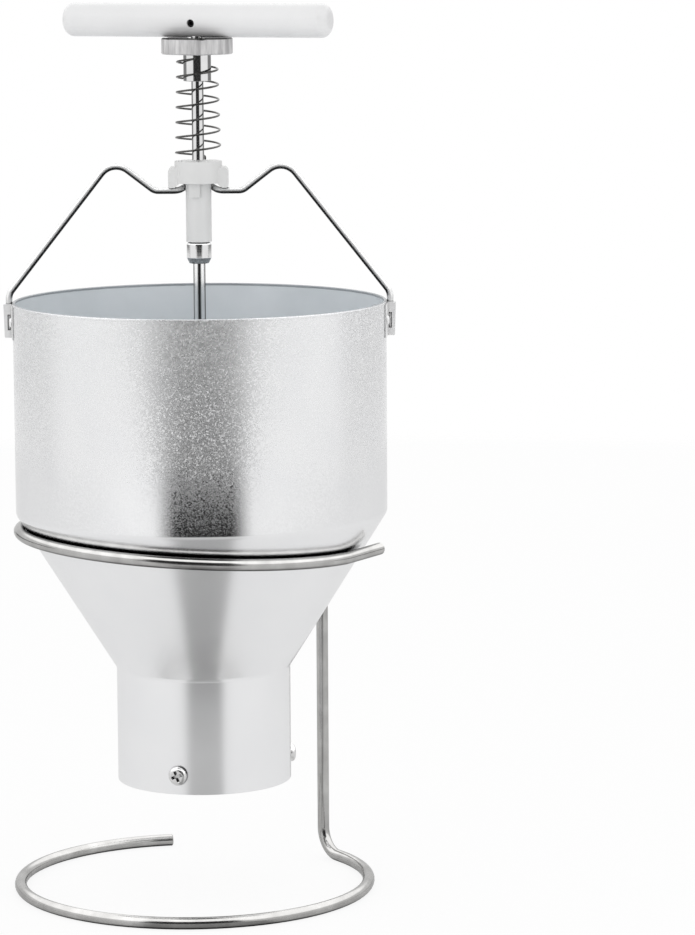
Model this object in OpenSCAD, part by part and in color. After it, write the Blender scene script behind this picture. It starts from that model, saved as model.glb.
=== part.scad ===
// Manual donut depositor: a hopper in a bent wire stand, with a sprung plunger that forms and cuts rings of batter.
// Millimetres. +Z is up, -Y is the front, and the origin is on the table under the hopper's axis.

/* [Stand] */
// Diameter of the stand's wire
stand_wire_d = 6.5; // [5:0.5:8]
// Centreline radius of both rings
ring_r = 95; // [85:1:97]
// Bend radius at the foot and the head of the post
post_bend_r = 14; // [10:1:20]
// Direction of the post, turned from the right side towards the back
post_azimuth = 46; // [20:1:70]
// Turn of the base ring from the post to its free end
base_sweep = 294; // [270:1:310]
// Turn of the base ring about the post
base_turn = 3.3; // [-5:0.1:5]
// Turn of the top ring from the post to its straight end
ring_sweep = 272; // [250:1:280]
// Length of the top ring's straight end
ring_tail = 35; // [5:1:45]
// Angle by which the straight end turns up from the ring
ring_tail_rise = 3.5; // [1:0.5:6]
// Angle by which the top ring climbs as it leaves the post
ring_rise = 2.1; // [0:0.1:2.5]
// Angle by which the top ring is lower at the post than across from it
ring_dip = 2.5; // [0:0.1:3]
// Straight wire between a ring and its bend
ring_lead = 2; // [1:0.5:6]

/* [Hopper] */
// Outer diameter of the hopper
hopper_d = 200; // [190:1:230]
// Thickness of the spun wall
hopper_wall = 1.2; // [1:0.1:2.5]
// Height of the straight upper wall
cylinder_h = 113.7; // [80:0.1:160]
// Height of the cone
cone_h = 84.7; // [60:0.1:110]
// Outer diameter of the neck
neck_d = 94; // [84:1:110]
// Height of the neck
neck_h = 61.8; // [55:0.1:90]
// Height of the outlet above the table
outlet_height = 61.3; // [56:0.1:90]
// Outer radius where the upper wall meets the cone
shoulder_r = 5; // [3:0.5:10]
// Outer radius where the cone meets the neck
throat_r = 4; // [2:0.5:10]
// Distance that the rim's rounded bead stands proud of the wall on each side
rim_proud = 0.15; // [0.1:0.05:0.5]

/* [Bail lugs] */
// Width of a lug's base plate along the wall
lug_w = 32; // [26:1:40]
// Height of a lug
lug_h = 18; // [14:0.5:24]
// Sheet thickness of a lug
lug_sheet = 0.6; // [0.5:0.1:1.2]
// Distance from the rim down to the top of a lug
lug_drop = 1.2; // [1:0.1:6]
// Height of the closed foot under a lug's pocket
lug_foot_h = 4; // [2:0.5:6]
// Extra reach of a lug's face at its top
lug_lean = 0.5; // [0:0.1:2]
// Height of the window in a lug's pocket
lug_window_h = 8.4; // [5:0.1:9]
// Width of the window in a lug's pocket
lug_window_w = 1.6; // [1:0.1:2.5]
// Shank diameter of a lug rivet
rivet_d = 3; // [2:0.1:4]
// Head diameter of a lug rivet
rivet_head_d = 5; // [4:0.1:6]
// Head height of a lug rivet
rivet_head_h = 1.2; // [0.8:0.1:1.8]
// Height of a lug rivet's tail inside the hopper
rivet_tail_h = 0.9; // [0.6:0.1:1.5]
// Distance of a rivet from the middle of its lug
rivet_offset = 11; // [8:0.5:12]

/* [Bail wire] */
// Diameter of the bail wire
bail_d = 3.5; // [3:0.1:4.5]
// Height of the bail's saddles above the rim
bail_rise = 58.8; // [50:0.1:80]
// Distance of a dip from the axis
bail_dip_x = 23.5; // [21:0.5:30]
// Distance of a hump from the axis
bail_hump_x = 45.6; // [42:0.1:60]
// Height of the humps above the saddles
bail_hump_rise = 17; // [10:0.5:24]
// Distance of the upper end of a leg above the rim
bail_leg_rise = 4; // [3:0.5:10]
// Bend radius in the dips
bail_dip_r = 6; // [4:0.5:8]
// Bend radius over the humps
bail_hump_r = 10; // [6:0.5:12]
// Bend radius at the top of a leg
bail_leg_r = 8; // [5:0.5:9]
// Rise of the arch that passes behind the guide
bail_arch_rise = 2.4; // [2:0.1:6]
// Bend radius beside the arch
bail_arch_r = 5; // [4:0.5:5.5]
// In-plane angle of the bends beside the arch
bail_arch_angle = 60; // [50:1:70]
// Half the straight length of the arch
bail_arch_half = 2.5; // [2:0.1:4]
// Gap between the arch and the guide
bail_arch_gap = 0.4; // [0.3:0.1:1]

/* [Crosshead] */
// Diameter of the round boss that seats the spring
boss_d = 25.4; // [25:0.1:30]
// Height of the boss above the saddles
boss_h = 14; // [12:0.5:20]
// Span of the wings
wing_span = 32; // [31:0.5:40]
// Height of the wings
wing_h = 11; // [8:0.5:11]
// Depth of the wings from front to back
wing_depth = 14; // [10:0.5:18]
// Corner radius of the wings
wing_corner_r = 2.5; // [1:0.1:4]
// Width of the front tongue
tongue_w = 6; // [4:0.5:7]
// Thickness of the front tongue
tongue_t = 1.8; // [1.2:0.1:3]
// Reach of the tongue below the saddles
tongue_drop = 5; // [3:0.5:8]
// Direction of the tongue, turned from the front
tongue_turn = -14; // [-20:1:20]

/* [Guide sleeve] */
// Outer diameter of the guide sleeve
guide_d = 13.7; // [12:0.1:13.9]
// Outer diameter of the guide inside the crosshead
guide_neck_d = 11; // [10:0.1:11.5]
// Reach of the guide below the saddles
guide_drop = 29; // [20:0.5:40]

/* [Spring and stop] */
// Height between the boss and the stroke dial at rest
spring_h = 56.7; // [50:0.1:70]
// Diameter of the spring wire
spring_wire_d = 1.1; // [1:0.1:1.6]
// Outer diameter of the spring on the boss
spring_low_d = 25; // [24:0.1:25]
// Outer diameter of the spring under the dial
spring_top_d = 22.5; // [20:0.1:24]
// Number of turns
spring_turns = 6.5; // [5:0.5:8]
// Direction of the lower end, turned from the right side towards the back
spring_start = 78; // [0:1:360]
// Bend radius at the ends
spring_end_r = 1; // [0.9:0.1:1.5]
// Outer diameter of the stop sleeve
stop_d = 14.9; // [12:0.1:18]
// Length of the stop sleeve
stop_h = 14; // [8:0.5:20]

/* [Stroke dial and handle] */
// Diameter of the stroke dial
dial_d = 38; // [30:0.5:44]
// Thickness of the stroke dial
dial_h = 8.6; // [8:0.1:14]
// Edge chamfer of the stroke dial
dial_chamfer = 0.6; // [0.3:0.1:1.2]
// Depth of the shallowest bar groove
groove_depth = 0.5; // [0.4:0.1:1]
// Added depth from one groove to the next
groove_step = 0.2; // [0.2:0.1:1]
// Number of bar grooves across the dial
groove_count = 3; // [2:1:3]
// Diameter of the handle bar
handle_d = 18; // [15:0.5:20]
// Length of the handle bar
handle_l = 152; // [120:1:180]
// Radius of the handle's rounded ends
handle_end_r = 5; // [2:0.5:6]
// Turn of the handle about the rod
handle_turn = -21.7; // [-30:0.1:30]
// Depth of the rod in the handle past its centre
handle_socket = 3; // [2:0.5:4]
// Diameter of the set screw
set_screw_d = 4; // [2.5:0.1:4.5]
// Depth of the set screw under the handle's surface
set_screw_sink = 1.2; // [0.8:0.1:2]
// Distance of the set screw below the handle's axis
set_screw_drop = 1.5; // [0:0.1:2]

/* [Rods] */
// Diameter of both rods
rod_d = 6.5; // [6:0.1:7.5]
// Diameter of the rod coupling
coupling_d = 13.4; // [11:0.1:14]
// Length of the rod coupling
coupling_h = 11.3; // [9:0.1:16]
// Height of the coupling's tapered foot
coupling_taper_h = 3; // [2:0.1:4]
// Radius of the coupling's top shoulder
coupling_top_r = 1.5; // [0.5:0.1:2]

/* [Outlet and piston] */
// Bore of the outlet sleeve
bore_d = 45; // [40:0.5:55]
// Height of the straight bore
bore_h = 32; // [26:0.5:40]
// Height of the funnel above the bore
funnel_h = 20; // [12:0.5:20]
// Height of the piston
piston_h = 10; // [8:0.5:14]
// Height of the raised piston above the bore
piston_lift = 12.5; // [12.5:0.5:16]
// Chamfer on the piston's edges
piston_chamfer = 1; // [0.5:0.1:2]
// Height of the core disc's rim
disc_rim_h = 3; // [2:0.1:4]
// Height of the core disc at its hub
disc_h = 6; // [5:0.1:8]
// Recess of the core disc above the outlet
disc_recess = 1; // [0.5:0.1:2]
// Height of a rod nut
nut_h = 5.5; // [4:0.1:6]
// Width of a rod nut across its flats
nut_af = 12; // [11:0.5:14]
// Height of the cap nut's dome
cap_dome_h = 5.5; // [4:0.1:6]

/* [Sleeve screws] */
// Shank diameter of a sleeve screw
screw_d = 5; // [4:0.1:6]
// Shank length of a sleeve screw
screw_l = 16; // [10:0.5:18]
// Head diameter of a sleeve screw
screw_head_d = 10; // [8:0.1:11]
// Head height of a sleeve screw
screw_head_h = 3.4; // [2.5:0.1:4]
// Height of the screws above the outlet
screw_up = 10.4; // [8:0.1:16]
// Direction of the first screw, turned from the front
screw_turn = -16; // [-60:0.5:60]
// Number of sleeve screws
screw_count = 3; // [2:1:4]
// Turn of a screw's cross recess
recess_turn = 20; // [0:1:89]

/* [Clearances] */
// Gap between bodies that move apart
body_gap = 0.3; // [0.2:0.05:0.5]
// Radial gap of a rod in a running bore
running_gap = 0.05; // [0.02:0.01:0.1]
// Gap between pieces of one body
seat_gap = 0.05; // [0.02:0.01:0.1]
// Radial gap of a shank in its hole
hole_gap = 0.1; // [0.05:0.05:0.3]

/* [Hidden] */
$fn = 64;
corner_steps = 6;
cut = 0.5;

// Bent wire: a bend is drawn a little thinner than its runs, which reach over its ends
bend_thinning = 0.16;
bend_lap = 0.2;

// Hopper heights and slopes
neck_top_z = outlet_height + neck_h;
shoulder_z = neck_top_z + cone_h;
rim_z = shoulder_z + cylinder_h;
hopper_r = hopper_d / 2;
neck_r = neck_d / 2;
cone_slope = (hopper_r - neck_r) / cone_h;
cone_angle = atan(cone_slope);
wall_rise = hopper_wall * tan(cone_angle / 2);
rim_bead_d = hopper_wall + 2 * rim_proud;
bead_z = rim_z - rim_bead_d;

// Top ring: its circle lies on the cone at one gap all round, also when it is tilted
ring_seat = (stand_wire_d / 2 + body_gap) / cos(cone_angle);
ring_z = neck_top_z + (ring_r - ring_seat - neck_r) / cone_slope;
ring_shift = ring_r * cone_slope * [-sin(ring_dip), sin(ring_rise)];
ring_start = ring_r * [cos(ring_dip), 0, -sin(ring_dip)];
post_x = ring_shift.x + ring_start.x;
post_y = ring_shift.y - ring_start.z * sin(ring_rise) - ring_lead * cos(ring_rise)
    - post_bend_r * (1 - sin(ring_rise));
post_lead = atan2(-post_y, post_x);
foot_turn = post_lead + atan2(post_bend_r + ring_lead, ring_r) + base_turn;
foot_z = stand_wire_d / 2 + post_bend_r;
head_z = ring_z + ring_start.z * cos(ring_rise) - ring_lead * sin(ring_rise) - post_bend_r * cos(ring_rise);

// Lugs and the bail's legs
lug_top_z = rim_z - lug_drop;
lug_low_z = lug_top_z - lug_h;
plate_top_z = min(lug_top_z, bead_z - hole_gap);
pocket_z = lug_low_z + lug_foot_h;
leg_x = hopper_r + rim_proud + hole_gap + bail_d / 2;
pocket_d = bail_d + 2 * hole_gap;
lug_reach = leg_x - hopper_r + pocket_d / 2 + lug_sheet;
rivet_angle = asin(rivet_offset / hopper_r);
rivet_z = lug_low_z + lug_h / 2;
rivet_head_r = rivet_head_d / 2;

// Bail: bend points in the plane of the legs, and the arch behind the guide
saddle_z = rim_z + bail_rise;
dip = [bail_dip_x, saddle_z];
hump = [bail_hump_x, saddle_z + bail_hump_rise];
leg_top = [leg_x, rim_z + bail_leg_rise];
climb = atan2(hump.y - dip.y, hump.x - dip.x);
fall = atan2(hump.y - leg_top.y, leg_top.x - hump.x);
dip_tangent = bail_dip_r * tan(climb / 2);
hump_tangent = bail_hump_r * tan((climb + fall) / 2);
leg_tangent = bail_leg_r * tan((90 - fall) / 2);
arch_y = guide_d / 2 + bail_arch_gap + bail_d / 2;
arch_shift = norm([arch_y, bail_arch_rise]);
arch_tilt = atan2(bail_arch_rise, arch_y);
arch_slant = (arch_shift - 2 * bail_arch_r * (1 - cos(bail_arch_angle))) / sin(bail_arch_angle);
saddle_x = bail_arch_half + 2 * bail_arch_r * sin(bail_arch_angle) + arch_slant * cos(bail_arch_angle);

// Crosshead: saddles on the wire, and a roof over the arch
wing_z = saddle_z + bail_d / 2 + seat_gap;
roof_z = wing_z + bail_arch_rise;
boss_z = wing_z + boss_h;
notch_inset = 1;
notch_slope = 1.1;
notch_low_x = saddle_x - notch_inset;
notch_top_x = notch_low_x - notch_slope * bail_arch_rise;
guide_z = wing_z - guide_drop;

// Plunger stack
dial_z = boss_z + spring_h;
stop_z = dial_z - body_gap - stop_h;
handle_z = dial_z + dial_h + body_gap + handle_d / 2;
coupling_top_z = guide_z - body_gap;
coupling_z = coupling_top_z - coupling_h;
rod_joint_z = coupling_z + coupling_h / 2;
rod_bore_d = rod_d + 2 * running_gap;
nut_bore_d = rod_d + 2 * seat_gap;
dial_groove_r = handle_d / 2 + body_gap;

// Outlet
sleeve_h = bore_h + funnel_h;
bore_top_z = outlet_height + bore_h;
sleeve_r = neck_r - hopper_wall - seat_gap;
sleeve_lip = 1.5;
piston_z = bore_top_z + piston_lift;
disc_z = outlet_height + disc_recess;
disc_top_z = disc_z + disc_h;
disc_hub_r = nut_af / 2 + 2;
cap_z = disc_z - seat_gap - nut_h;
cap_wall = 3;

// Spring path
spring_low_z = boss_z + seat_gap;
spring_top_z = dial_z - body_gap;
spring_low_r = (spring_low_d - spring_wire_d) / 2;
spring_top_r = (spring_top_d - spring_wire_d) / 2;
coil_low_z = spring_low_z + spring_wire_d + spring_end_r;
coil_top_z = spring_top_z - spring_wire_d - spring_end_r;
curl_rings = 8;
tube_sides = 6;
end_rings = 3;

steel = [0.72, 0.73, 0.74];
polished = [0.82, 0.83, 0.84];
aluminium = [0.86, 0.87, 0.88];
white_plastic = [0.93, 0.93, 0.92];
gloss_white = [0.97, 0.97, 0.97];
dark_steel = [0.25, 0.25, 0.26];

// Outline with rounded corners: each corner is [x, y, radius]
function rounded(corners) = [
    for (i = [0 : len(corners) - 1])
        each arc_at(
            corners[(i + len(corners) - 1) % len(corners)],
            corners[i],
            corners[(i + 1) % len(corners)])
];

function flat(p) = [p.x, p.y];

function unit(v) = v / norm(v);

function arc_at(before, corner, after) =
    corner[2] == 0 ? [flat(corner)] :
    let (
        back = unit(flat(before) - flat(corner)),
        ahead = unit(flat(after) - flat(corner)),
        half = acos(back * ahead) / 2,
        centre = flat(corner) + unit(back + ahead) * corner[2] / sin(half),
        first = flat(corner) + back * corner[2] / tan(half) - centre,
        last = flat(corner) + ahead * corner[2] / tan(half) - centre,
        start = atan2(first.y, first.x),
        turn = (atan2(last.y, last.x) - start + 540) % 360 - 180
    )
    [for (k = [0 : corner_steps])
        centre + corner[2] * [cos(start + turn * k / corner_steps), sin(start + turn * k / corner_steps)]];

// A straight run of wire along +Z; what follows starts at its end
module feed(d, length) {
    translate([0, 0, -bend_lap])
        cylinder(d = d, h = length + 2 * bend_lap);
    translate([0, 0, length])
        children();
}

// The last straight run of a wire, cut square at its end
module last_feed(d, length) {
    translate([0, 0, -bend_lap])
        cylinder(d = d, h = length + bend_lap);
}

// A bend that leaves +Z and turns towards +X; what follows starts at its end
module bend(d, r, angle) {
    translate([r, 0, 0]) {
        rotate([90, 0, 0])
            rotate_extrude(angle = angle, start = 180 - angle)
                translate([r, 0])
                    circle(d = d - bend_thinning);
        rotate([0, angle, 0])
            translate([-r, 0, 0])
                children();
    }
}

// One bent wire: the top ring, the post and the base ring
module stand_frame() {
    color(steel)
        rotate(post_azimuth + post_lead)
            translate([ring_shift.x, ring_shift.y, ring_z])
                rotate([ring_rise, 0, 0]) {
                    rotate([0, ring_dip, 0])
                        translate([ring_r, 0, 0])
                            rotate([-90, 0, 0])
                                rotate(180)
                                bend(stand_wire_d, ring_r, ring_sweep)
                                feed(stand_wire_d, ring_lead)
                                rotate(90)
                                bend(stand_wire_d, post_bend_r, ring_tail_rise)
                                last_feed(stand_wire_d, ring_tail - ring_lead);
                    translate(ring_start)
                        rotate([90, 0, 0])
                            rotate(-90)
                            feed(stand_wire_d, ring_lead)
                            bend(stand_wire_d, post_bend_r, 90 - ring_rise)
                            feed(stand_wire_d, head_z - foot_z)
                            rotate(180 + foot_turn)
                            bend(stand_wire_d, post_bend_r, 90)
                            feed(stand_wire_d, ring_lead)
                            rotate(90)
                            bend(stand_wire_d, ring_r, base_sweep);
                }
}

// Spun wall in section, from the rim down the outside and up the inside
module hopper_wall_section() {
    inner_r = hopper_r - hopper_wall;
    inner_neck_r = neck_r - hopper_wall;
    bead_r = 0.9 * rim_bead_d / 2;
    polygon(rounded([
        [hopper_r + rim_proud, rim_z, bead_r],
        [hopper_r + rim_proud, bead_z, rim_proud],
        [hopper_r, bead_z, 0],
        [hopper_r, shoulder_z, shoulder_r],
        [neck_r, neck_top_z, throat_r],
        [neck_r, outlet_height, 0],
        [inner_neck_r, outlet_height, 0],
        [inner_neck_r, neck_top_z + wall_rise, throat_r + hopper_wall],
        [inner_r, shoulder_z + wall_rise, shoulder_r - hopper_wall],
        [inner_r, bead_z, 0],
        [inner_r - rim_proud, bead_z, rim_proud],
        [inner_r - rim_proud, rim_z, bead_r]
    ]));
}

// Places children on the axis of each sleeve screw, with +Z pointing outwards from the neck
module at_screws() {
    for (i = [0 : screw_count - 1])
        rotate(screw_turn - 90 + i * 360 / screw_count)
            translate([neck_r, 0, outlet_height + screw_up])
                rotate([0, 90, 0])
                    children();
}

// Places children on the axis of each lug rivet, with +Z pointing outwards from the wall
module at_rivets() {
    for (side = [0, 180])
        for (turn = [-rivet_angle, rivet_angle])
            rotate(side + turn)
                translate([hopper_r, 0, rivet_z])
                    rotate([0, 90, 0])
                        children();
}

module hopper() {
    color(aluminium)
        difference() {
            rotate_extrude()
                hopper_wall_section();
            at_screws()
                cylinder(d = screw_d + 2 * hole_gap, h = 4 * hopper_wall, center = true);
            at_rivets()
                cylinder(d = rivet_d + 2 * hole_gap, h = 4 * hopper_wall, center = true);
        }
}

// A curved base plate on the wall with a raised pocket for one leg of the bail
module bail_lug() {
    plate_angle = 2 * asin(lug_w / 2 / hopper_r);
    pocket_w = pocket_d + 2 * lug_sheet;
    plate_mid_x = hopper_r + seat_gap + lug_sheet / 2;
    bead_clear_x = hopper_r + rim_proud + hole_gap + seat_gap;
    difference() {
        union() {
            translate([0, 0, lug_low_z])
                rotate_extrude(angle = plate_angle, start = -plate_angle / 2)
                    translate([hopper_r + seat_gap, 0])
                        square([lug_sheet, plate_top_z - lug_low_z]);
            rotate([90, 0, 0])
                linear_extrude(pocket_w, center = true)
                    polygon(rounded([
                        [plate_mid_x, lug_low_z, 0],
                        [hopper_r + lug_reach, lug_low_z, lug_sheet],
                        [hopper_r + lug_reach + lug_lean, lug_top_z, lug_sheet / 2],
                        [max(plate_mid_x, bead_clear_x), lug_top_z, 0],
                        [max(plate_mid_x, bead_clear_x), plate_top_z, 0],
                        [plate_mid_x, plate_top_z, 0]
                    ]));
        }
        translate([leg_x, 0, pocket_z])
            cylinder(d = pocket_d, h = lug_h);
        translate([leg_x, 0, pocket_z + lug_window_h / 2 + seat_gap])
            cube([lug_window_w, 2 * pocket_w, lug_window_h], center = true);
        at_rivets()
            cylinder(d = rivet_d + 2 * hole_gap, h = 6 * lug_sheet, center = true);
    }
}

module right_bail_lug() {
    color(polished)
        bail_lug();
}

module left_bail_lug() {
    color(polished)
        rotate(180)
            bail_lug();
}

// Rivets through the lug plates and the hopper's wall, with a domed head outside and a flat tail inside
module lug_rivets() {
    seat_z = lug_sheet + 2 * seat_gap;
    tail_z = -hopper_wall - seat_gap;
    color(steel)
        at_rivets()
            rotate_extrude()
                polygon(rounded([
                    [0, tail_z - rivet_tail_h, 0],
                    [rivet_head_r, tail_z - rivet_tail_h, rivet_tail_h / 2],
                    [rivet_head_r, tail_z, 0],
                    [rivet_d / 2, tail_z, 0],
                    [rivet_d / 2, seat_z, 0],
                    [rivet_head_r, seat_z, 0],
                    [rivet_head_r, seat_z + rivet_head_h, rivet_head_h - seat_gap],
                    [0, seat_z + rivet_head_h, 0]
                ]));
}

// One side of the bail, from the end of the arch to the foot of its leg
module bail_side() {
    arch_roll = arch_tilt - 90;
    translate([bail_arch_half, arch_y, saddle_z + bail_arch_rise])
        rotate([0, 90, 0])
            rotate(arch_roll)
            bend(bail_d, bail_arch_r, bail_arch_angle)
            feed(bail_d, arch_slant)
            rotate(180)
            bend(bail_d, bail_arch_r, bail_arch_angle)
            rotate(180 - arch_roll)
            feed(bail_d, dip.x - saddle_x - dip_tangent)
            rotate(180)
            bend(bail_d, bail_dip_r, climb)
            rotate(180)
            feed(bail_d, norm(hump - dip) - dip_tangent - hump_tangent)
            bend(bail_d, bail_hump_r, climb + fall)
            feed(bail_d, norm(leg_top - hump) - hump_tangent - leg_tangent)
            bend(bail_d, bail_leg_r, 90 - fall)
            last_feed(bail_d, leg_top.y - leg_tangent - pocket_z - seat_gap);
}

// One bent wire from lug to lug, with an arch behind the guide
module bail_wire() {
    color(polished) {
        translate([-bail_arch_half, arch_y, saddle_z + bail_arch_rise])
            rotate([0, 90, 0])
                feed(bail_d, 2 * bail_arch_half);
        bail_side();
        mirror([1, 0, 0])
            bail_side();
    }
}

// Block that straddles the bail, carries the guide and seats the spring
module crosshead() {
    wing_top_z = wing_z + wing_h;
    half_span = wing_span / 2;
    color(white_plastic)
        difference() {
            union() {
                difference() {
                    union() {
                        translate([0, 0, wing_z])
                            cylinder(d = boss_d, h = boss_h);
                        rotate([90, 0, 0])
                            linear_extrude(wing_depth, center = true)
                                polygon(rounded([
                                    [-half_span, wing_z, wing_corner_r / 2],
                                    [half_span, wing_z, wing_corner_r / 2],
                                    [half_span, wing_top_z, wing_corner_r],
                                    [-half_span, wing_top_z, wing_corner_r]
                                ]));
                    }
                    rotate([90, 0, 0])
                        linear_extrude(2 * boss_d, center = true)
                            polygon([
                                [-notch_low_x, wing_z - cut],
                                [notch_low_x, wing_z - cut],
                                [notch_low_x, wing_z],
                                [notch_top_x, roof_z],
                                [-notch_top_x, roof_z],
                                [-notch_low_x, wing_z]
                            ]);
                }
                rotate(tongue_turn)
                    translate([-tongue_w / 2, -guide_d / 2 - hole_gap - tongue_t, wing_z - tongue_drop])
                        cube([tongue_w, tongue_t, roof_z + cut - wing_z + tongue_drop]);
            }
            cylinder(d = guide_neck_d + 2 * seat_gap, h = boss_z + cut);
        }
}

// Plain bush for the upper rod, with a shoulder under the crosshead
module guide_sleeve() {
    seat_z = roof_z - seat_gap;
    color(white_plastic)
        rotate_extrude()
            polygon(rounded([
                [rod_bore_d / 2, guide_z, 0],
                [guide_d / 2, guide_z, hole_gap],
                [guide_d / 2, seat_z, 0],
                [guide_neck_d / 2, seat_z, 0],
                [guide_neck_d / 2, boss_z, 0],
                [rod_bore_d / 2, boss_z, 0]
            ]));
}

// Insert with the measuring bore and the funnel that feeds it
module outlet_sleeve() {
    sleeve_top_z = outlet_height + sleeve_h;
    color(white_plastic)
        difference() {
            rotate_extrude()
                polygon([
                    [bore_d / 2, outlet_height],
                    [sleeve_r, outlet_height],
                    [sleeve_r, sleeve_top_z],
                    [sleeve_r - sleeve_lip, sleeve_top_z],
                    [bore_d / 2, bore_top_z]
                ]);
            at_screws()
                translate([0, 0, -hopper_wall - screw_l])
                    cylinder(d = screw_d + 2 * seat_gap, h = screw_l + hopper_wall);
        }
}

// Pan head screws with a cross recess
module sleeve_screws() {
    recess_l = 0.58 * screw_head_d;
    recess_w = 0.16 * screw_head_d;
    recess_depth = 0.5 * screw_head_h;
    color(steel)
        at_screws()
            difference() {
                rotate_extrude()
                    polygon(rounded([
                        [0, -screw_l, 0],
                        [screw_d / 2, -screw_l, screw_d / 10],
                        [screw_d / 2, seat_gap, 0],
                        [screw_head_d / 2, seat_gap, 0],
                        [screw_head_d / 2, screw_head_h, 0.6 * screw_head_h],
                        [0, screw_head_h, 0]
                    ]));
                for (turn = [recess_turn, recess_turn + 90])
                    rotate(turn)
                        translate([-recess_l / 2, -recess_w / 2, screw_head_h - recess_depth])
                            cube([recess_l, recess_w, screw_head_h]);
            }
}

// Spring path: a short upright end, a tight bend, the tapering coil, and the same again at the top
function coil_r(s) = spring_low_r + (spring_top_r - spring_low_r) * s;

function coil_slope(r) = atan((coil_top_z - coil_low_z) / spring_turns / (2 * PI * r));

function on_coil(r, angle, along, z) =
    let (a = angle + along / r * 180 / PI)
    [r * cos(a), r * sin(a), z];

function end_bend(r, angle, tip_z, up) = [
    for (k = [0 : end_rings])
        let (b = 90 - (90 - coil_slope(r)) * k / end_rings)
        on_coil(
            r,
            angle,
            -up * spring_end_r * sin(b),
            tip_z + up * (spring_wire_d + spring_end_r * cos(b)))
];

function reversed(list) = [for (i = [len(list) - 1 : -1 : 0]) list[i]];

function spring_path() =
    let (
        rings = round(curl_rings * spring_turns),
        end_angle = spring_start + 360 * spring_turns,
        low_z = coil_low_z,
        top_z = coil_top_z,
        low = end_bend(spring_low_r, spring_start, spring_low_z, 1),
        top = end_bend(spring_top_r, end_angle, spring_top_z, -1)
    )
    concat(
        [[low[0].x, low[0].y, spring_low_z]],
        low,
        [for (k = [1 : rings - 1])
            on_coil(coil_r(k / rings), spring_start + 360 * spring_turns * k / rings, 0,
                low_z + (top_z - low_z) * k / rings)],
        reversed(top),
        [[top[0].x, top[0].y, spring_top_z]]
    );

// Closed tube of triangles along a path that winds about the Z axis
module wound_tube(path, d) {
    n = len(path);
    ring_points = [
        for (i = [0 : n - 1])
            let (
                ahead = unit(path[min(i + 1, n - 1)] - path[max(i - 1, 0)]),
                tangent = i == 0 || i == n - 1 ? [0, 0, 1] : ahead,
                out = unit([path[i].x, path[i].y, 0]),
                side = unit(out - (out * tangent) * tangent),
                up = cross(tangent, side)
            )
            for (k = [0 : tube_sides - 1])
                path[i] + d / 2 * (cos(360 * k / tube_sides) * side + sin(360 * k / tube_sides) * up)
    ];
    last = (n - 1) * tube_sides;
    skin = [
        for (i = [0 : n - 2])
            for (k = [0 : tube_sides - 1])
                let (
                    a = i * tube_sides + k,
                    b = i * tube_sides + (k + 1) % tube_sides
                )
                each [[a, a + tube_sides, b], [b, a + tube_sides, b + tube_sides]]
    ];
    low_cap = [for (k = [1 : tube_sides - 2]) [0, k, k + 1]];
    top_cap = [for (k = [1 : tube_sides - 2]) [last, last + k + 1, last + k]];
    polyhedron(ring_points, concat(skin, low_cap, top_cap));
}

// Least gap of the wound wire to itself, between points over a third of a turn apart
function least_gap(path, d, apart) =
    min([
        for (i = [0 : len(path) - 1])
            for (j = [i + apart : len(path) - 1])
                norm(path[i] - path[j])
    ]) - d;

module return_spring() {
    path = spring_path();
    echo(return_spring_least_gap = least_gap(path, spring_wire_d, end_rings + curl_rings / 2));
    color(steel)
        wound_tube(path, spring_wire_d);
}

// Tube under the dial that ends the stroke on the guide
module stop_sleeve() {
    color(polished)
        translate([0, 0, stop_z])
            difference() {
                cylinder(d = stop_d, h = stop_h);
                translate([0, 0, -cut])
                    cylinder(d = rod_bore_d, h = stop_h + 2 * cut);
            }
}

// Disc with bar grooves of rising depth across its top
module stroke_dial() {
    r = dial_d / 2;
    top = dial_z + dial_h;
    color(aluminium)
        difference() {
            rotate_extrude()
                polygon([
                    [rod_bore_d / 2, dial_z],
                    [r - dial_chamfer, dial_z],
                    [r, dial_z + dial_chamfer],
                    [r, top - dial_chamfer],
                    [r - dial_chamfer, top],
                    [rod_bore_d / 2, top]
                ]);
            for (i = [0 : groove_count - 1])
                translate([0, 0, top - groove_depth - i * groove_step + dial_groove_r])
                    rotate(handle_turn + i * 180 / groove_count)
                        rotate([0, 90, 0])
                            cylinder(r = dial_groove_r, h = 2 * dial_d, center = true);
        }
}

module handle_bar() {
    half = handle_l / 2;
    socket_top = handle_z + handle_socket;
    color(gloss_white)
        rotate(handle_turn)
            difference() {
                translate([0, 0, handle_z])
                    rotate([0, 90, 0])
                        rotate_extrude()
                            polygon(rounded([
                                [0, -half, 0],
                                [handle_d / 2, -half, handle_end_r],
                                [handle_d / 2, half, handle_end_r],
                                [0, half, 0]
                            ]));
                cylinder(d = rod_d + 2 * seat_gap, h = socket_top);
                translate([0, 0, handle_z - set_screw_drop])
                    rotate([90, 0, 0])
                        cylinder(d = set_screw_d + 2 * hole_gap, h = handle_d);
            }
}

// Headless screw that locks the handle to the rod
module handle_set_screw() {
    tip = rod_d / 2 + seat_gap;
    length = handle_d / 2 - set_screw_sink - tip;
    socket_af = 0.5 * set_screw_d;
    color(dark_steel)
        rotate(handle_turn)
            translate([0, -tip, handle_z - set_screw_drop])
                rotate([90, 0, 0])
                    difference() {
                        cylinder(d = set_screw_d, h = length);
                        translate([0, 0, length / 2])
                            cylinder(d = socket_af / cos(30), h = length, $fn = 6);
                    }
}

module upper_rod() {
    low_z = rod_joint_z + seat_gap;
    color(polished)
        translate([0, 0, low_z])
            cylinder(d = rod_d, h = handle_z + handle_socket - seat_gap - low_z);
}

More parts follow.
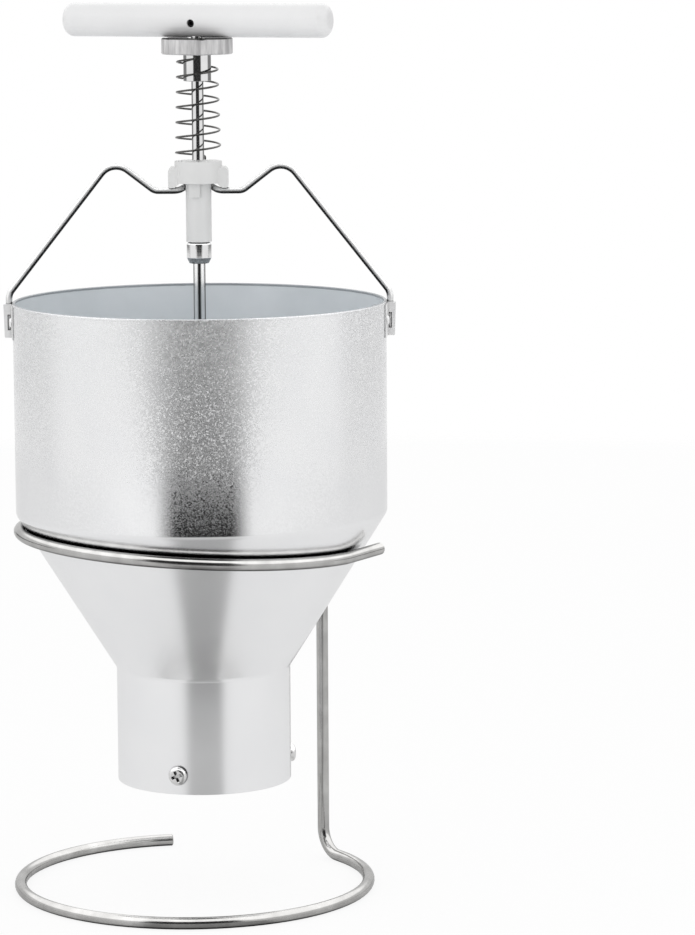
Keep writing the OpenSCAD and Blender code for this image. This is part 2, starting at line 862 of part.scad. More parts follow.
// Polished coupling that joins the rods and stops the upstroke on the guide
module rod_coupling() {
    color(polished)
        rotate_extrude()
            polygon(rounded([
                [nut_bore_d / 2, coupling_z, 0],
                [coupling_d / 2 - coupling_taper_h / 2, coupling_z, 0],
                [coupling_d / 2, coupling_z + coupling_taper_h, 0],
                [coupling_d / 2, coupling_top_z, coupling_top_r],
                [nut_bore_d / 2, coupling_top_z, 0]
            ]));
}

module lower_rod() {
    low_z = cap_z - cap_dome_h + cap_wall + seat_gap;
    color(polished)
        translate([0, 0, low_z])
            cylinder(d = rod_d, h = rod_joint_z - low_z);
}

module piston() {
    r = bore_d / 2 - body_gap;
    color(white_plastic)
        rotate_extrude()
            polygon([
                [nut_bore_d / 2, piston_z],
                [r - piston_chamfer, piston_z],
                [r, piston_z + piston_chamfer],
                [r, piston_z + piston_h - piston_chamfer],
                [r - piston_chamfer, piston_z + piston_h],
                [nut_bore_d / 2, piston_z + piston_h]
            ]);
}

// A hexagon nut with its lower face at the origin
module hex_nut() {
    difference() {
        cylinder(d = nut_af / cos(30), h = nut_h, $fn = 6);
        translate([0, 0, -cut])
            cylinder(d = nut_bore_d, h = nut_h + 2 * cut);
    }
}

module piston_nuts() {
    color(steel) {
        translate([0, 0, piston_z - seat_gap - nut_h])
            hex_nut();
        translate([0, 0, piston_z + piston_h + seat_gap])
            hex_nut();
    }
}

// Disc that closes the bore at rest and cuts the ring on the upstroke
module core_disc() {
    r = bore_d / 2 - body_gap;
    color(polished)
        rotate_extrude()
            polygon([
                [nut_bore_d / 2, disc_z],
                [r, disc_z],
                [r, disc_z + disc_rim_h],
                [disc_hub_r, disc_top_z],
                [nut_bore_d / 2, disc_top_z]
            ]);
}

module disc_lock_nut() {
    color(steel)
        translate([0, 0, disc_top_z + seat_gap])
            hex_nut();
}

// Domed nut under the core disc
module disc_cap_nut() {
    dome_r = nut_af / 2;
    color(polished)
        difference() {
            union() {
                translate([0, 0, cap_z])
                    cylinder(d = nut_af / cos(30), h = nut_h, $fn = 6);
                rotate_extrude()
                    polygon(rounded([
                        [0, cap_z - cap_dome_h, 0],
                        [dome_r, cap_z - cap_dome_h, 0.9 * cap_dome_h],
                        [dome_r, cap_z + cut, 0],
                        [0, cap_z + cut, 0]
                    ]));
            }
            translate([0, 0, cap_z - cap_dome_h + cap_wall])
                cylinder(d = nut_bore_d, h = nut_h + cap_dome_h);
        }
}

stand_frame();
hopper();
left_bail_lug();
right_bail_lug();
lug_rivets();
bail_wire();
crosshead();
guide_sleeve();
outlet_sleeve();
sleeve_screws();
return_spring();
stop_sleeve();
stroke_dial();
handle_bar();
handle_set_screw();
upper_rod();
rod_coupling();
lower_rod();
piston();
piston_nuts();
core_disc();
disc_lock_nut();
disc_cap_nut();
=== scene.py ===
import math

import bmesh
import bpy
from mathutils import Matrix, Vector


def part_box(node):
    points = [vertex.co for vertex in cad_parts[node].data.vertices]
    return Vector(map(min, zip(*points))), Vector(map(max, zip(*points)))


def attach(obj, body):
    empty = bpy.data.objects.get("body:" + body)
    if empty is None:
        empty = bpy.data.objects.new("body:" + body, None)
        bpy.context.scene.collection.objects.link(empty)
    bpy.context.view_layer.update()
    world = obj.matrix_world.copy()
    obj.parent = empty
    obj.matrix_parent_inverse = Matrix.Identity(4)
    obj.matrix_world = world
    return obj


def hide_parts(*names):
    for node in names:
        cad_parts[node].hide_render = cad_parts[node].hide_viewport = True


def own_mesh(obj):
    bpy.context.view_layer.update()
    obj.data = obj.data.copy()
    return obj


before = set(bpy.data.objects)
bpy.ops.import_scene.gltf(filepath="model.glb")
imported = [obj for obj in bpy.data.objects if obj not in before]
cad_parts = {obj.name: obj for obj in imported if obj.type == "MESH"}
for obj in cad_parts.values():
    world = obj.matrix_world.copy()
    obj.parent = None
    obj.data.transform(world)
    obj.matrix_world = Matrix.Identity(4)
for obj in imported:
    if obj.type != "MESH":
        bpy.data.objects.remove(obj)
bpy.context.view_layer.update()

# Units and limits
MM = 0.001
UP = Vector((0, 0, 1))
WHITE = (1, 1, 1)
SHARP_ANGLE = math.radians(40)
FLAT_ANGLE = math.radians(0.4)
MERGE_DISTANCE = 0.002 * MM
TINY = 1e-7

# Sizes of the part in metres, as in its solids
stand_wire_d = 6.5 * MM
ring_r = 95 * MM
post_bend_r = 14 * MM
ring_lead = 2 * MM
ring_tail = 35 * MM
ring_tail_rise = math.radians(3.5)
post_azimuth = math.radians(46)
base_sweep = math.radians(294)
base_turn = math.radians(3.3)
ring_sweep = math.radians(272)
ring_rise = math.radians(2.1)
ring_dip = math.radians(2.5)

hopper_r = 100 * MM
hopper_wall = 1.2 * MM
cylinder_h = 113.7 * MM
cone_h = 84.7 * MM
neck_r = 47 * MM
shoulder_r = 5 * MM
throat_r = 4 * MM
rim_bead_d = 1.5 * MM
body_gap = 0.3 * MM
seat_gap = 0.05 * MM

bail_d = 3.5 * MM
bail_rise = 58.8 * MM
bail_dip = 23.5 * MM
bail_hump = 45.6 * MM
bail_hump_rise = 17 * MM
bail_leg_rise = 4 * MM
bail_dip_r = 6 * MM
bail_hump_r = 10 * MM
bail_leg_r = 8 * MM
bail_arch_rise = 2.4 * MM
bail_arch_r = 5 * MM
bail_arch_half = 2.5 * MM
bail_arch_y = 9 * MM
bail_arch_angle = math.radians(60)
bail_leg_gap = 0.1 * MM
lug_foot_h = 4 * MM

spring_wire_d = 1.1 * MM
spring_low_r = 11.95 * MM
spring_top_r = 10.7 * MM
spring_turns = 6.5
spring_start = math.radians(78)
spring_end_r = 1 * MM

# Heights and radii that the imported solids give
hopper_low, hopper_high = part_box("hopper")
outlet_z = hopper_low.z
rim_z = hopper_high.z
shoulder_z = rim_z - cylinder_h
neck_top_z = shoulder_z - cone_h
spring_low, spring_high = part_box("return_spring")
lug_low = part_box("right_bail_lug")[0]
leg_foot_z = lug_low.z + lug_foot_h + seat_gap
leg_x = hopper_high.x + bail_leg_gap + bail_d / 2


# Outlines and swept or turned meshes
def arc_corner(before, corner, after, radius, steps=8):
    """Points of an arc that rounds one corner of a flat outline."""
    back = (Vector(before) - Vector(corner)).normalized()
    ahead = (Vector(after) - Vector(corner)).normalized()
    half = math.acos(max(-1.0, min(1.0, back.dot(ahead)))) / 2
    centre = Vector(corner) + (back + ahead).normalized() * radius / math.sin(half)
    first = Vector(corner) + back * radius / math.tan(half) - centre
    last = Vector(corner) + ahead * radius / math.tan(half) - centre
    start = math.atan2(first.y, first.x)
    turn = (math.atan2(last.y, last.x) - start + 3 * math.pi) % (2 * math.pi) - math.pi
    return [
        centre + radius * Vector((math.cos(start + turn * k / steps), math.sin(start + turn * k / steps)))
        for k in range(steps + 1)
    ]


def rounded(corners, steps=8):
    """Closed outline from corners given as (x, y, radius)."""
    points = []
    for i, (x, y, radius) in enumerate(corners):
        before = corners[i - 1][:2]
        after = corners[(i + 1) % len(corners)][:2]
        if radius:
            points += arc_corner(before, (x, y), after, radius, steps)
        else:
            points.append(Vector((x, y)))
    return [p for i, p in enumerate(points) if (p - points[i - 1]).length > TINY]


def divided(outline, longest):
    """Closed outline whose straight runs are split into steps no longer than this."""
    points = []
    for i, start in enumerate(outline):
        run = outline[(i + 1) % len(outline)] - start
        steps = max(1, math.ceil(run.length / longest))
        points += [start + run * k / steps for k in range(steps)]
    return points


class Bender:
    """Follows a wire through straight feeds, bends and rolls, and keeps its centreline."""

    def __init__(self, start, bend_step=math.radians(4)):
        self.at = start
        self.bend_step = bend_step
        self.path = [start.translation.copy()]

    def _go(self, move):
        self.at = self.at @ move
        self.path.append(self.at.translation.copy())

    def feed(self, length, steps=4):
        for _ in range(steps):
            self._go(Matrix.Translation((0, 0, length / steps)))
        return self

    def roll(self, angle):
        self.at = self.at @ Matrix.Rotation(angle, 4, "Z")
        return self

    def bend(self, radius, angle):
        steps = max(4, math.ceil(angle / self.bend_step))
        turn = Matrix.Translation((radius, 0, 0)) @ Matrix.Rotation(angle / steps, 4, "Y")
        for _ in range(steps):
            self._go(turn @ Matrix.Translation((-radius, 0, 0)))
        return self


def sweep(name, path, radius, sides, chamfer):
    """Closed round wire along a path, with chamfered ends and a UV map in metres."""
    ahead = (path[1] - path[0]).normalized()
    behind = (path[-1] - path[-2]).normalized()
    stations = [(point, radius) for point in path]
    stations[0] = (path[0] + ahead * chamfer, radius)
    stations[-1] = (path[-1] - behind * chamfer, radius)
    stations.insert(0, (path[0], radius - chamfer))
    stations.append((path[-1], radius - chamfer))
    bm = bmesh.new()
    uv = bm.loops.layers.uv.new("UVMap")
    side = ahead.orthogonal().normalized()
    tangent = ahead
    rings, lengths = [], [0.0]
    for i, (point, r) in enumerate(stations):
        low, high = stations[max(i - 1, 0)][0], stations[min(i + 1, len(stations) - 1)][0]
        new_tangent = (high - low).normalized()
        side = tangent.rotation_difference(new_tangent) @ side
        side = (side - side.dot(new_tangent) * new_tangent).normalized()
        tangent = new_tangent
        other = tangent.cross(side)
        angles = [2 * math.pi * k / sides for k in range(sides)]
        rings.append([bm.verts.new(point + r * (math.cos(a) * side + math.sin(a) * other)) for a in angles])
        if i:
            lengths.append(lengths[-1] + (point - stations[i - 1][0]).length)
    around = 2 * math.pi * radius / sides
    for i in range(len(rings) - 1):
        for k in range(sides):
            n = (k + 1) % sides
            face = bm.faces.new((rings[i][k], rings[i][n], rings[i + 1][n], rings[i + 1][k]))
            spots = ((i, k), (i, k + 1), (i + 1, k + 1), (i + 1, k))
            for loop, (row, column) in zip(face.loops, spots):
                loop[uv].uv = (lengths[row], column * around)
    bm.faces.new(list(reversed(rings[0])))
    bm.faces.new(rings[-1])
    return mesh_of(name, bm)


def lathe(name, outline, segments, longest=4 * MM):
    """Turned mesh from a closed (radius, height) outline clear of the Z axis, with a UV map in metres."""
    outline = divided(outline, longest)
    bm = bmesh.new()
    uv = bm.loops.layers.uv.new("UVMap")
    angles = [2 * math.pi * k / segments for k in range(segments)]
    turns = [(math.cos(a), math.sin(a)) for a in angles]
    rings = [[bm.verts.new((point.x * c, point.x * s, point.y)) for c, s in turns] for point in outline]
    count = len(rings)
    along = 0.0
    for i in range(count):
        low, high = rings[i], rings[(i + 1) % count]
        step = (outline[(i + 1) % count] - outline[i]).length
        wide = 2 * math.pi * max(outline[i].x, outline[(i + 1) % count].x) / segments
        for k in range(segments):
            n = (k + 1) % segments
            face = bm.faces.new((low[k], low[n], high[n], high[k]))
            for loop, (right, up) in zip(face.loops, ((0, 0), (1, 0), (1, 1), (0, 1))):
                loop[uv].uv = ((k + right) * wide, along + up * step)
        along += step
    bmesh.ops.recalc_face_normals(bm, faces=bm.faces)
    return mesh_of(name, bm)


def mesh_of(name, bm):
    mesh = bpy.data.meshes.new(name)
    bm.to_mesh(mesh)
    bm.free()
    return mesh


def softened(node, width, segments=2, sharp=math.radians(20)):
    """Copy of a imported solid's mesh with its sharp edges broken."""
    bm = bmesh.new()
    bm.from_mesh(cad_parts[node].data)
    bmesh.ops.remove_doubles(bm, verts=bm.verts, dist=MERGE_DISTANCE)
    bmesh.ops.dissolve_limit(bm, angle_limit=FLAT_ANGLE, verts=bm.verts, edges=bm.edges)
    edges = [e for e in bm.edges if len(e.link_faces) == 2 and e.calc_face_angle(0) > sharp]
    bmesh.ops.bevel(
        bm, geom=edges, offset=width, offset_type="OFFSET", segments=segments,
        profile=0.5, affect="EDGES", clamp_overlap=True,
    )
    return mesh_of(node + "_mesh", bm)


def piece(name, mesh, body, material, replaced):
    """Puts a mesh in the scene as a piece that rides on a body in place of the nodes `replaced`."""
    obj = bpy.data.objects.new(name, mesh)
    bpy.context.scene.collection.objects.link(obj)
    mesh.materials.clear()
    mesh.materials.append(material)
    mesh.shade_smooth()
    mesh.set_sharp_from_angle(angle=SHARP_ANGLE)
    weighted = obj.modifiers.new("weighted_normals", "WEIGHTED_NORMAL")
    weighted.keep_sharp = True
    weighted.mode = "FACE_AREA_WITH_ANGLE"
    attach(obj, body)
    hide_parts(*replaced)
    return obj


# Materials
class NodeTree:
    """Node tree with helpers that add nodes and join them."""

    def __init__(self, tree):
        self.tree = tree

    def node(self, kind, **settings):
        made = self.tree.nodes.new(kind)
        for key, value in settings.items():
            setattr(made, key, value)
        return made

    def feed(self, target, source):
        """Links an output to a socket, or sets the socket's own value."""
        if hasattr(source, "links"):
            self.tree.links.new(source, target)
        else:
            target.default_value = source

    def math(self, operation, *values):
        made = self.node("ShaderNodeMath", operation=operation)
        for socket, value in zip(made.inputs, values):
            self.feed(socket, value)
        return made.outputs[0]

    def map_range(self, value, start, end, low, high, kind):
        made = self.node("ShaderNodeMapRange", interpolation_type=kind)
        for key, number in (("From Min", start), ("From Max", end), ("To Min", low), ("To Max", high)):
            made.inputs[key].default_value = number
        self.feed(made.inputs["Value"], value)
        return made.outputs["Result"]


class Finish(NodeTree):
    """Node material with one principled shader and helpers for its textures."""

    def __init__(self, name, colour, roughness, metallic=0.0, **sockets):
        self.material = bpy.data.materials.new(name)
        self.material.use_nodes = True
        super().__init__(self.material.node_tree)
        self.shader = self.tree.nodes["Principled BSDF"]
        self.shader.inputs["Base Color"].default_value = (*colour, 1)
        self.shader.inputs["Roughness"].default_value = roughness
        self.shader.inputs["Metallic"].default_value = metallic
        for socket, value in sockets.items():
            self.shader.inputs[socket.replace("_", " ")].default_value = value

    def coords(self, kind="Object", scale=(1, 1, 1)):
        mapping = self.node("ShaderNodeMapping")
        mapping.inputs["Scale"].default_value = scale
        self.feed(mapping.inputs["Vector"], self.node("ShaderNodeTexCoord").outputs[kind])
        return mapping.outputs["Vector"]

    def noise(self, vector, scale, detail=2.0, rough=0.5):
        made = self.node("ShaderNodeTexNoise")
        made.inputs["Scale"].default_value = scale
        made.inputs["Detail"].default_value = detail
        made.inputs["Roughness"].default_value = rough
        self.feed(made.inputs["Vector"], vector)
        return made.outputs["Fac"]

    def vector_math(self, operation, first, second):
        made = self.node("ShaderNodeVectorMath", operation=operation)
        for socket, value in zip(made.inputs, (first, second)):
            self.feed(socket, value)
        return made

    def times(self, first, second):
        """One colour times another."""
        return self.vector_math("MULTIPLY", first, second).outputs["Vector"]

    def split(self, vector, axis):
        made = self.node("ShaderNodeSeparateXYZ")
        self.feed(made.inputs[0], vector)
        return made.outputs[axis]

    def grains(self, vector, scale):
        """Small cells, each with its own random colour."""
        made = self.node("ShaderNodeTexVoronoi", feature="F1")
        made.inputs["Scale"].default_value = scale
        self.feed(made.inputs["Vector"], vector)
        return made.outputs["Color"]

    def facets(self, grains, tilt):
        """Normal of small grains, each tilted its own way by up to half this share."""
        lean = self.vector_math("SUBTRACT", grains, (0.5, 0.5, 0.5)).outputs["Vector"]
        scaled = self.node("ShaderNodeVectorMath", operation="SCALE")
        self.feed(scaled.inputs["Vector"], lean)
        self.feed(scaled.inputs["Scale"], tilt)
        normal = self.node("ShaderNodeNewGeometry").outputs["Normal"]
        leaning = self.vector_math("ADD", normal, scaled.outputs["Vector"]).outputs["Vector"]
        return self.vector_math("NORMALIZE", leaning, (0, 0, 0)).outputs["Vector"]

    def tight_gaps(self, distance, shut, clear):
        """1 where other surfaces stand close, 0 in the open."""
        made = self.node("ShaderNodeAmbientOcclusion", samples=8)
        made.inputs["Distance"].default_value = distance
        return self.spread(made.outputs["AO"], 1, 0, shut, clear)

    def spread(self, value, low, high, start=0.3, end=0.7):
        """Maps a number to the range from `low` to `high`. The default suits a noise."""
        return self.map_range(value, start, end, low, high, "LINEAR")

    def tint(self, fac, first, second):
        made = self.node("ShaderNodeMix", data_type="RGBA")
        made.inputs[6].default_value = (*first, 1)
        made.inputs[7].default_value = (*second, 1)
        self.feed(made.inputs[0], fac)
        return made.outputs[2]

    def between(self, fac, first, second):
        """Number between two others."""
        made = self.node("ShaderNodeMix", data_type="FLOAT")
        self.feed(made.inputs[0], fac)
        self.feed(made.inputs[2], first)
        self.feed(made.inputs[3], second)
        return made.outputs[0]

    def blend(self, fac, first, second):
        """Colour between two others."""
        made = self.node("ShaderNodeMix", data_type="RGBA")
        self.feed(made.inputs[0], fac)
        self.feed(made.inputs[6], first)
        self.feed(made.inputs[7], second)
        return made.outputs[2]

    def facing_axis(self):
        """1 where the surface faces the part's upright axis, 0 where it faces away from it."""
        change = 0.004
        radial = self.coords("Object", (1, 1, 0))
        normal = self.node("ShaderNodeNewGeometry").outputs["True Normal"]
        outward = self.vector_math("DOT_PRODUCT", radial, normal).outputs["Value"]
        return self.spread(outward, 1, 0, -change, change)

    def facing_up(self, start, end):
        """0 where the upright part of the surface's normal is below `start`, 1 where it is above `end`."""
        normal = self.node("ShaderNodeNewGeometry").outputs["True Normal"]
        return self.spread(self.split(normal, "Z"), 0, 1, start, end)

    def bump(self, height, distance, strength):
        made = self.node("ShaderNodeBump")
        made.inputs["Strength"].default_value = strength
        made.inputs["Distance"].default_value = distance
        self.feed(made.inputs["Height"], height)
        return made.outputs["Normal"]

    def set(self, socket, source):
        self.feed(self.shader.inputs[socket], source)


def grey(level):
    return (level, level, level)


def blasted_aluminium():
    """Spun aluminium: blasted grain on the outside of the cylinder, plain below it.

    The inside is duller and painted a darker, bluish shade. The rim's edge is painted with a dark line of
    shade, and narrow gaps are painted dark as shade.
    """
    grains_per_m = 1700
    grain_tilt = 0.012
    gap_reach = 3 * MM
    shoulder_change = 2 * MM
    rim_edge_from, rim_edge_to = rim_z - 1.5 * MM, rim_z - 1.2 * MM
    rough_low, rough_high = 0.075, 0.36
    rough_grain, smooth_grain = 1.9, 0.4
    f = Finish("blasted_aluminium", (0.865, 0.868, 0.875), 0.14, 1.0, Specular_Tint=(*grey(0.93), 1))
    place = f.coords()
    height = f.split(place, "Z")
    inside = f.facing_axis()
    mottle = f.noise(place, 45, 3)
    outer = f.tint(f.spread(mottle, 0, 1), (0.855, 0.858, 0.868), (0.88, 0.882, 0.888))
    # Painted shade: the inside is coloured darker and bluish to stand for the shade inside the hopper.
    painted_inner_shade = f.tint(f.spread(mottle, 0, 1), (0.77, 0.805, 0.83), (0.83, 0.86, 0.885))
    clean = f.blend(inside, outer, painted_inner_shade)
    # Painted shade: near black where other surfaces stand close, as contact shadows.
    gaps = f.tint(f.tight_gaps(gap_reach, 0.35, 0.75), WHITE, (0.04, 0.04, 0.045))
    # Painted shade: a dark line on the rim's upward and inward faces near its top; marks is this times the
    # painted gap shade.
    turned_in = f.math("MAXIMUM", f.facing_up(0.4, 0.7), inside)
    rim_edge = f.math("MULTIPLY", turned_in, f.spread(height, 0, 1, rim_edge_from, rim_edge_to))
    marks = f.times(gaps, f.tint(rim_edge, WHITE, (0.42, 0.43, 0.44)))
    upper = f.spread(height, 0, 1, shoulder_z, shoulder_z + shoulder_change)
    blasted = f.math("MULTIPLY", upper, f.spread(inside, 1, 0, 0, 1))
    grains = f.grains(place, grains_per_m)
    speck = f.split(grains, "X")
    shades = f.tint(f.math("MULTIPLY", speck, blasted), WHITE, grey(0.93))
    f.set("Base Color", f.times(f.times(clean, shades), marks))
    f.set("Metallic", f.spread(inside, 1.0, 0.2, 0, 1))
    level = f.spread(height, rough_low, rough_high, shoulder_z, rim_z)
    coarse = f.math("MULTIPLY", level, f.spread(speck, rough_grain, smooth_grain, 0, 1))
    f.set("Roughness", f.between(blasted, f.spread(mottle, 0.19, 0.23), coarse))
    f.set("Normal", f.facets(grains, f.spread(blasted, 0, grain_tilt, 0, 1)))
    return f.material


def drawn_wire(name, dark, light, rough, lines=0.012 * MM, reach=4 * MM,
               underside_shade=1.0, side=(-0.3, 0.05), edge=1.0, metal=1.0):
    """Drawn wire with fine lines along it, with painted shade on its underside and painted shade where
    other pieces stand close.
    """
    f = Finish(name, light, rough, metal, Specular_Tint=(*grey(edge), 1))
    streaks = f.noise(f.coords("UV", (40, 2600, 1)), 1, 3, 0.6)
    smudges = f.noise(f.coords(), 90, 3)
    # Painted shade: dark where other pieces stand close, as contact shadows.
    painted_gap_shade = f.tint(f.tight_gaps(reach, 0.4, 0.8), WHITE, grey(0.04))
    # Painted shade on the underside, as dark as the underside setting, where the normal points down past
    # `side`.
    below = f.tint(f.facing_up(*side), grey(underside_shade), WHITE)
    clean = f.tint(f.spread(smudges, 0, 1), dark, light)
    f.set("Base Color", f.times(f.times(clean, below), painted_gap_shade))
    f.set("Roughness", f.spread(streaks, 0.75 * rough, 1.35 * rough))
    f.set("Normal", f.bump(streaks, lines, 0.5))
    return f.material


def plated_sheet(name, dark, light, rough, metal, reach):
    """Dull plated steel, with painted shade in its slots and recesses."""
    f = Finish(name, light, rough, metal)
    patches = f.noise(f.coords(), 600, 3)
    # Painted shade: dark in slots and recesses, where other surfaces stand close.
    painted_gap_shade = f.tint(f.tight_gaps(reach, 0.3, 0.62), WHITE, grey(0.06))
    clean = f.tint(f.spread(patches, 0, 1), dark, light)
    f.set("Base Color", f.times(clean, painted_gap_shade))
    f.set("Roughness", f.spread(patches, 0.9 * rough, 1.1 * rough))
    return f.material


def turned_metal(name, dark, light, rough, pitch, depth, underside_shade=1.0):
    """Turned metal with fine lines round its axis, with painted shade where it faces down."""
    f = Finish(name, light, rough, 1.0)
    lines = f.noise(f.coords("Object", (0.02, 0.02, 1)), pitch, 2, 0.6)
    smudges = f.noise(f.coords(), 160, 3)
    clean = f.tint(f.spread(smudges, 0, 1), dark, light)
    # Painted shade on the faces that point down.
    below = f.tint(f.facing_up(-0.6, -0.3), grey(underside_shade), WHITE)
    f.set("Base Color", f.times(clean, below))
    f.set("Roughness", f.spread(lines, 0.75 * rough, 1.4 * rough))
    f.set("Normal", f.bump(lines, depth, 0.5))
    return f.material


def streaked_metal(name, dark, light, rough, metal, scale, stretch, top):
    """Metal with upright streaks, with painted shade where it faces up."""
    f = Finish(name, light, rough, metal)
    streaks = f.noise(f.coords("Object", (1, 1, stretch)), scale, 3, 0.65)
    clean = f.tint(f.spread(streaks, 0, 1, 0.35, 0.65), dark, light)
    # Painted shade on the faces that point up, as dark as `top`.
    above = f.tint(f.facing_up(0.3, 0.6), WHITE, grey(top))
    f.set("Base Color", f.times(clean, above))
    f.set("Roughness", f.spread(streaks, 0.85 * rough, 1.1 * rough))
    return f.material


def painted_reflection_rod(name, dark, light, rough, lines):
    """Polished rod with dark and bright lines painted along it as reflections, as many of each as `lines`.
    """
    f = Finish(name, light, rough, 1.0)
    place = f.coords()
    angle = f.math("ARCTAN2", f.split(place, "X"), f.split(place, "Y"))
    wave = f.math("COSINE", f.spread(angle, -lines * math.pi, lines * math.pi, -math.pi, math.pi))
    # Painted reflection: the colour swings between dark and bright round the rod.
    f.set("Base Color", f.tint(f.spread(wave, 0, 1, -0.8, 0.3), dark, light))
    f.set("Roughness", f.spread(f.noise(place, 160, 3), 0.75 * rough, 1.3 * rough))
    return f.material


def moulded_plastic(name, shade, pale, rough, grain, **sockets):
    """Moulded plastic with slight flow marks and a fine surface texture."""
    f = Finish(name, pale, rough, 0.0, **sockets)
    place = f.coords()
    flow = f.noise(place, 35, 3)
    texture = f.noise(place, 2200, 2)
    f.set("Base Color", f.tint(f.spread(flow, 0, 1), shade, pale))
    f.set("Roughness", f.spread(texture, 0.85 * rough, 1.2 * rough))
    f.set("Normal", f.bump(texture, grain, 0.4))
    return f.material


aluminium = blasted_aluminium()
# The wires' underside setting and side give their painted underside shade, and reach gives the painted
# shade where pieces stand close.
stand_steel = drawn_wire(
    "stand_steel", (0.40, 0.396, 0.388), (0.52, 0.516, 0.508), 0.16,
    lines=0.008 * MM, reach=2 * MM, underside_shade=0.08, side=(-0.85, -0.45), edge=0.75,
)
bail_steel = drawn_wire(
    "bail_steel", grey(0.84), grey(0.9), 0.12,
    lines=0.002 * MM, reach=1.5 * MM, underside_shade=0.02, side=(-0.2, 0.05), edge=0.6, metal=0.35,
)
spring_steel = drawn_wire("spring_steel", (0.07, 0.069, 0.066), (0.12, 0.118, 0.114), 0.15)
# polished_steel: painted shade on its downward faces.
polished_steel = turned_metal(
    "polished_steel", grey(0.72), grey(0.79), 0.06, pitch=3000, depth=0.002 * MM, underside_shade=0.2,
)
# rod_steel: dark and bright lines of painted reflection round the lower rod.
rod_steel = painted_reflection_rod("rod_steel", grey(0.04), grey(0.92), 0.12, lines=5)
# The dial's upward faces get a near-black painted shade, the shadow under the handle.
dial_aluminium = streaked_metal(
    "dial_aluminium", (0.40, 0.395, 0.40), (0.70, 0.695, 0.695), 0.45,
    metal=0.3, scale=300, stretch=0.12, top=0.04,
)
# reach sets how far the painted shade in slots and recesses spreads.
zinc_steel = plated_sheet("zinc_steel", (0.66, 0.66, 0.66), (0.74, 0.74, 0.735), 0.25, 1.0, 3 * MM)
lug_steel = plated_sheet("lug_steel", (0.80, 0.80, 0.805), (0.86, 0.86, 0.86), 0.45, 0.3, 5 * MM)
black_steel = turned_metal("black_steel", (0.015, 0.015, 0.016), (0.035, 0.035, 0.037), 0.4, 900, 0.01 * MM)
white_plastic = moulded_plastic("white_plastic", (0.72, 0.72, 0.715), (0.77, 0.77, 0.765), 0.42, 0.012 * MM)
guide_plastic = moulded_plastic("guide_plastic", (0.74, 0.74, 0.735), (0.79, 0.79, 0.785), 0.38, 0.01 * MM)
handle_plastic = moulded_plastic(
    "handle_plastic", (0.765, 0.765, 0.77), (0.81, 0.81, 0.815), 0.3, 0.004 * MM,
    Coat_Weight=0.15, Coat_Roughness=0.12, Specular_IOR_Level=0.35,
)


# Stand
def stand_path():
    """Centreline of the stand's one wire, from the top ring's straight end to the base ring's free end."""
    wire_r = stand_wire_d / 2
    cone_slope = (hopper_r - neck_r) / cone_h
    ring_seat = (wire_r + body_gap) / math.cos(math.atan(cone_slope))
    ring_z = neck_top_z + (ring_r - ring_seat - neck_r) / cone_slope
    shift = ring_r * cone_slope * Vector((-math.sin(ring_dip), math.sin(ring_rise)))
    start = ring_r * Vector((math.cos(ring_dip), 0, -math.sin(ring_dip)))
    post_x = shift.x + start.x
    post_y = (shift.y - start.z * math.sin(ring_rise) - ring_lead * math.cos(ring_rise)
              - post_bend_r * (1 - math.sin(ring_rise)))
    post_lead = math.atan2(-post_y, post_x)
    foot_turn = post_lead + math.atan2(post_bend_r + ring_lead, ring_r) + base_turn
    foot_z = wire_r + post_bend_r
    head_z = (ring_z + start.z * math.cos(ring_rise) - ring_lead * math.sin(ring_rise)
              - post_bend_r * math.cos(ring_rise))
    ring_frame = (Matrix.Rotation(post_azimuth + post_lead, 4, "Z")
                  @ Matrix.Translation((shift.x, shift.y, ring_z))
                  @ Matrix.Rotation(ring_rise, 4, "X"))
    ring = Bender(ring_frame @ Matrix.Rotation(ring_dip, 4, "Y") @ Matrix.Translation((ring_r, 0, 0))
                  @ Matrix.Rotation(-math.pi / 2, 4, "X") @ Matrix.Rotation(math.pi, 4, "Z"))
    ring.bend(ring_r, ring_sweep).feed(ring_lead, 1).roll(math.pi / 2)
    ring.bend(post_bend_r, ring_tail_rise).feed(ring_tail - ring_lead, 12)
    post = Bender(ring_frame @ Matrix.Translation(start)
                  @ Matrix.Rotation(math.pi / 2, 4, "X") @ Matrix.Rotation(-math.pi / 2, 4, "Z"))
    post.feed(ring_lead, 1).bend(post_bend_r, math.pi / 2 - ring_rise).feed(head_z - foot_z, 40)
    post.roll(math.pi + foot_turn).bend(post_bend_r, math.pi / 2).feed(ring_lead, 1)
    post.roll(math.pi / 2).bend(ring_r, base_sweep)
    return list(reversed(ring.path)) + post.path[1:]


piece(
    "stand_wire", sweep("stand_wire", stand_path(), stand_wire_d / 2, 32, 0.5 * MM),
    "stand", stand_steel, ["stand_frame"],
)


# Hopper and its lugs
def hopper_outline():
    """Section of the spun wall, from the rim down the outside and up the inside."""
    slope = math.atan((hopper_r - neck_r) / cone_h)
    wall_rise = hopper_wall * math.tan(slope / 2)
    proud = (rim_bead_d - hopper_wall) / 2
    bead_r = 0.9 * rim_bead_d / 2
    bead_z = rim_z - rim_bead_d
    inner_r = hopper_r - hopper_wall
    inner_neck_r = neck_r - hopper_wall
    lip = 0.25 * MM
    return rounded([
        (hopper_r + proud, rim_z, bead_r),
        (hopper_r + proud, bead_z, proud),
        (hopper_r, bead_z, 0),
        (hopper_r, shoulder_z, shoulder_r),
        (neck_r, neck_top_z, throat_r),
        (neck_r, outlet_z, lip),
        (inner_neck_r, outlet_z, lip),
        (inner_neck_r, neck_top_z + wall_rise, throat_r + hopper_wall),
        (inner_r, shoulder_z + wall_rise, shoulder_r - hopper_wall),
        (inner_r, bead_z, 0),
        (inner_r - proud, bead_z, proud),
        (inner_r - proud, rim_z, bead_r),
    ])


